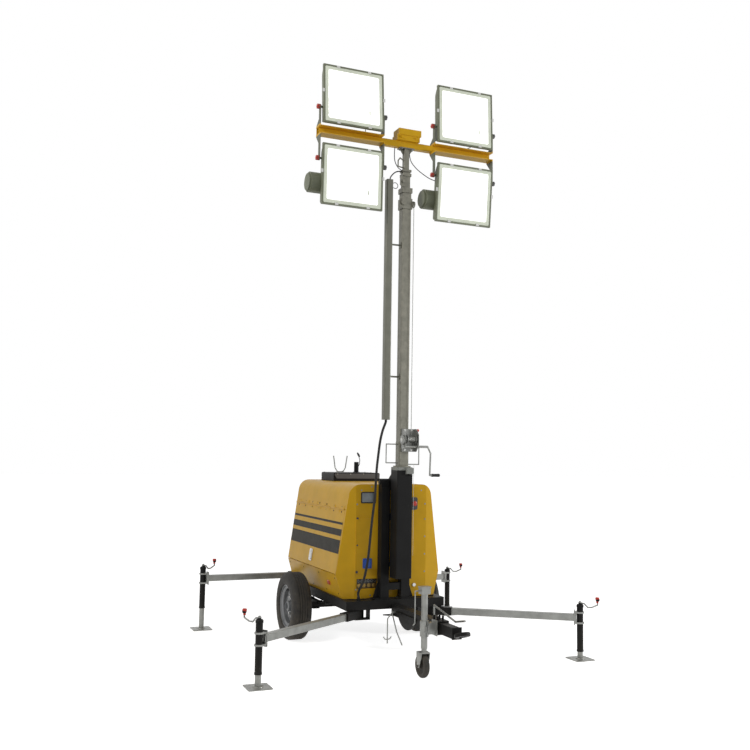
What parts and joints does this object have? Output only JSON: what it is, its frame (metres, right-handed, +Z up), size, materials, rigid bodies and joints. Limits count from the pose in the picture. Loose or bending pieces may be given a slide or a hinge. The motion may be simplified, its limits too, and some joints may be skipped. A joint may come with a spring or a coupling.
{
  "type": "mobile light tower",
  "caption": "Towable light tower with a closed generator canopy, a telescopic mast that tilts back over the roof, floodlights on a cross bar and swing-out stabiliser arms with jacks.",
  "frame": {"origin": "ground point below the middle of the whole machine's box, standing on its jacks", "axes": "+X to the right seen from the drawbar end, +Y towards the rear, +Z up"},
  "size_m": [3.1773, 3.065, 5.2305],
  "materials": {
    "paint_yellow": "satin",
    "paint_black": "satin",
    "zinc": "satin",
    "lamp_housing": "matte",
    "tyre_rubber": "matte",
    "cable_rubber": "matte",
    "engine_iron": "matte",
    "plastic_blue": "matte",
    "lamp_red": "gloss"
  },
  "bodies": {
    "chassis": {"chassis_frame": "paint_black", "drawbar": "paint_black", "towing_eye": "paint_black", "drawbar_fittings": "zinc", "axle_beam": "paint_black", "leaf_springs": "paint_black", "power_unit": "engine_iron", "canopy_front": "paint_yellow", "canopy_rear": "paint_yellow", "canopy_roof": "paint_yellow", "canopy_skirts": "paint_yellow", "roof_hood": "paint_black", "mast_cradle": "zinc", "exhaust": "paint_black", "mast_post": "paint_black", "panel_fittings": "plastic_blue", "jockey_holder": "zinc", "rear_lamps": "lamp_red", "power_cable_lower": "cable_rubber"},
    "door_left": {"side_door_left": "paint_yellow"},
    "door_right": {"side_door_right": "paint_yellow"},
    "mast_foot": {"mast_base": "paint_black"},
    "mast_outer": {"mast_section_1": "zinc", "mast_handles": "zinc", "mast_winch": "zinc", "winch_rope": "zinc", "cable_duct": "zinc", "power_cable_upper": "cable_rubber"},
    "mast_middle": {"mast_section_2": "zinc"},
    "mast_top": {"mast_section_3": "zinc", "light_bar": "paint_yellow", "junction_box": "paint_yellow", "lamp_brackets": "paint_black"},
    "lamp_upper_left": {"floodlight_upper_left": "lamp_housing"},
    "lamp_lower_left": {"floodlight_lower_left": "lamp_housing"},
    "lamp_upper_right": {"floodlight_upper_right": "lamp_housing"},
    "lamp_lower_right": {"floodlight_lower_right": "lamp_housing"},
    "wheel_left": {"tyre_left": "tyre_rubber", "rim_left": "zinc"},
    "wheel_right": {"tyre_right": "tyre_rubber", "rim_right": "zinc"},
    "stabiliser_front_left": {"arm_front_left": "zinc", "arm_pivot_left": "paint_black", "jack_front_left": "paint_black"},
    "stabiliser_front_right": {"arm_front_right": "zinc", "arm_pivot_right": "paint_black", "jack_front_right": "paint_black"},
    "stabiliser_rear_left": {"arm_rear_left": "zinc", "jack_rear_left": "paint_black"},
    "stabiliser_rear_right": {"arm_rear_right": "zinc", "jack_rear_right": "paint_black"},
    "foot_front_left": {"leg_front_left": "zinc"},
    "foot_front_right": {"leg_front_right": "zinc"},
    "foot_rear_left": {"leg_rear_left": "zinc"},
    "foot_rear_right": {"leg_rear_right": "zinc"},
    "jockey_lift": {"jockey_stem": "zinc"},
    "jockey_caster": {"jockey_fork": "zinc"},
    "jockey_roller": {"jockey_wheel": "tyre_rubber"}
  },
  "joints": [
    {"name": "wheel_left_spin", "type": "hinge", "parent": "chassis", "child": "wheel_left", "pos_m": [-0.667, 0.695, 0.316], "axis": [1, 0, 0], "continuous": true},
    {"name": "wheel_right_spin", "type": "hinge", "parent": "chassis", "child": "wheel_right", "pos_m": [0.667, 0.695, 0.316], "axis": [1, 0, 0], "continuous": true},
    {"name": "door_left_hinge", "type": "hinge", "parent": "chassis", "child": "door_left", "pos_m": [-0.43694, 0, 1.268], "axis": [0, -1, 0], "range_deg": [-80, 0]},
    {"name": "door_right_hinge", "type": "hinge", "parent": "chassis", "child": "door_right", "pos_m": [0.43694, 0, 1.268], "axis": [0, 1, 0], "range_deg": [-80, 0]},
    {"name": "mast_tilt", "type": "hinge", "parent": "chassis", "child": "mast_foot", "pos_m": [0, -0.14, 1.52], "axis": [-1, 0, 0], "range_deg": [0, 90]},
    {"name": "mast_turn", "type": "hinge", "parent": "mast_foot", "child": "mast_outer", "pos_m": [0, -0.298, 1], "axis": [0, 0, 1], "range_deg": [-350, 0]},
    {"name": "mast_lift", "type": "slide", "parent": "mast_outer", "child": "mast_middle", "axis": [0, 0, -1], "range_m": [-2.2, 0]},
    {"name": "mast_lift_top", "type": "slide", "parent": "mast_middle", "child": "mast_top", "axis": [0, 0, -1], "range_m": [-2.2, 0]},
    {"name": "lamp_upper_left_tilt", "type": "hinge", "parent": "mast_top", "child": "lamp_upper_left", "pos_m": [-0.565, -0.365, 4.837], "axis": [1, 0, 0], "range_deg": [-20, 45]},
    {"name": "lamp_lower_left_tilt", "type": "hinge", "parent": "mast_top", "child": "lamp_lower_left", "pos_m": [-0.565, -0.365, 4.37], "axis": [1, 0, 0], "range_deg": [-20, 45]},
    {"name": "lamp_upper_right_tilt", "type": "hinge", "parent": "mast_top", "child": "lamp_upper_right", "pos_m": [0.565, -0.365, 4.837], "axis": [1, 0, 0], "range_deg": [-20, 45]},
    {"name": "lamp_lower_right_tilt", "type": "hinge", "parent": "mast_top", "child": "lamp_lower_right", "pos_m": [0.565, -0.365, 4.37], "axis": [1, 0, 0], "range_deg": [-20, 45]},
    {"name": "arm_front_left_swing", "type": "hinge", "parent": "chassis", "child": "stabiliser_front_left", "pos_m": [-0.37, -0.175, 0.361], "axis": [0, 0, 1], "range_deg": [0, 48]},
    {"name": "arm_front_right_swing", "type": "hinge", "parent": "chassis", "child": "stabiliser_front_right", "pos_m": [0.37, -0.175, 0.361], "axis": [0, 0, -1], "range_deg": [0, 48]},
    {"name": "arm_rear_left_slide", "type": "slide", "parent": "chassis", "child": "stabiliser_rear_left", "axis": [1, 0, 0], "range_m": [0, 0.76]},
    {"name": "arm_rear_right_slide", "type": "slide", "parent": "chassis", "child": "stabiliser_rear_right", "axis": [-1, 0, 0], "range_m": [0, 0.76]},
    {"name": "foot_front_left_slide", "type": "slide", "parent": "stabiliser_front_left", "child": "foot_front_left", "axis": [0, 0, 1], "range_m": [-0.15, 0.05]},
    {"name": "foot_front_right_slide", "type": "slide", "parent": "stabiliser_front_right", "child": "foot_front_right", "axis": [0, 0, 1], "range_m": [-0.15, 0.05]},
    {"name": "foot_rear_left_slide", "type": "slide", "parent": "stabiliser_rear_left", "child": "foot_rear_left", "axis": [0, 0, 1], "range_m": [-0.15, 0.16]},
    {"name": "foot_rear_right_slide", "type": "slide", "parent": "stabiliser_rear_right", "child": "foot_rear_right", "axis": [0, 0, 1], "range_m": [-0.15, 0.04]},
    {"name": "jockey_lift_slide", "type": "slide", "parent": "chassis", "child": "jockey_lift", "axis": [0, 0, 1], "range_m": [-0.1, 0.02]},
    {"name": "jockey_swivel", "type": "hinge", "parent": "jockey_lift", "child": "jockey_caster", "pos_m": [-0.15, -1.095, 0.2], "axis": [0, 0, 1], "continuous": true},
    {"name": "jockey_wheel_spin", "type": "hinge", "parent": "jockey_caster", "child": "jockey_roller", "pos_m": [-0.15, -1.067, 0.096], "axis": [1, 0, 0], "continuous": true}
  ],
  "couplings": [
    {"joint": "mast_lift_top", "follows": "mast_lift", "ratio": 1}
  ]
}
